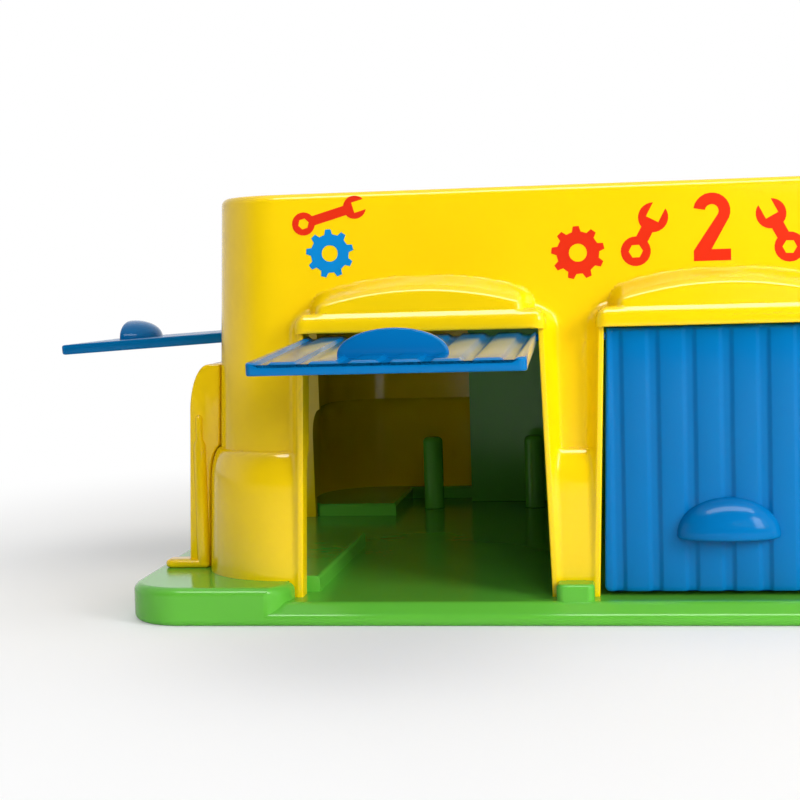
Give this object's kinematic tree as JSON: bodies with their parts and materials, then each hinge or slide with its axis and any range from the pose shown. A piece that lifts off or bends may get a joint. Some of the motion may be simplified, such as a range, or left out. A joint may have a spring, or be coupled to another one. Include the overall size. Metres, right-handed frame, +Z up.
{
  "type": "toy parking garage",
  "caption": "Moulded toy garage with a flat roof, vaulted hoods over its bays, ribbed up-and-over doors and a low base with ramps to a shared hall.",
  "frame": {"origin": "centre of the base's underside, on the table", "axes": "+X towards the right-hand end seen from the front, +Y from the three-bay front to the back, +Z up"},
  "size_m": [0.7118, 0.5497, 0.2199],
  "materials": {
    "yellow_plastic": "smooth glossy moulded plastic, warm yellow",
    "green_plastic": "smooth glossy moulded plastic, grass green",
    "blue_plastic": "smooth glossy moulded plastic, mid blue",
    "screw_steel": "plain zinc-plated steel"
  },
  "bodies": {
    "building": {"base": "green_plastic", "front_wall": "yellow_plastic", "rear_wall": "yellow_plastic", "left_wall": "yellow_plastic", "right_wall": "yellow_plastic", "column_front_left": "yellow_plastic", "column_front_right": "yellow_plastic", "column_rear_left": "yellow_plastic", "column_rear_right": "yellow_plastic", "roof": "yellow_plastic", "rear_partition": "green_plastic", "stop_post_left_a": "green_plastic", "stop_post_left_b": "green_plastic", "stop_post_center_a": "green_plastic", "stop_post_center_b": "green_plastic", "stop_post_right_a": "green_plastic", "stop_post_right_b": "green_plastic", "post_screw_left_a": "screw_steel", "post_screw_left_b": "screw_steel", "post_screw_center_a": "screw_steel", "post_screw_center_b": "screw_steel", "post_screw_right_a": "screw_steel", "post_screw_right_b": "screw_steel", "fuel_pump": "yellow_plastic"},
    "front_left_door": {"door_front_left": "blue_plastic"},
    "front_center_door": {"door_front_center": "blue_plastic"},
    "front_right_door": {"door_front_right": "blue_plastic"},
    "left_end_door": {"door_left_end": "blue_plastic"},
    "right_end_door": {"door_right_end": "blue_plastic"}
  },
  "joints": [
    {"name": "front_left_hinge", "type": "hinge", "parent": "building", "child": "front_left_door", "pos_m": [-0.153, -0.1976, 0.1428], "axis": [-1, 0, 0], "range_deg": [-87, 0]},
    {"name": "front_center_hinge", "type": "hinge", "parent": "building", "child": "front_center_door", "pos_m": [0, -0.1976, 0.1428], "axis": [-1, 0, 0], "range_deg": [0, 87]},
    {"name": "front_right_hinge", "type": "hinge", "parent": "building", "child": "front_right_door", "pos_m": [0.153, -0.1976, 0.1428], "axis": [-1, 0, 0], "range_deg": [0, 87]},
    {"name": "left_end_hinge", "type": "hinge", "parent": "building", "child": "left_end_door", "pos_m": [-0.2737, 0.033, 0.1428], "axis": [0, 1, 0], "range_deg": [-87, 0]},
    {"name": "right_end_hinge", "type": "hinge", "parent": "building", "child": "right_end_door", "pos_m": [0.2737, 0.033, 0.1428], "axis": [0, -1, 0], "range_deg": [0, 87]}
  ]
}
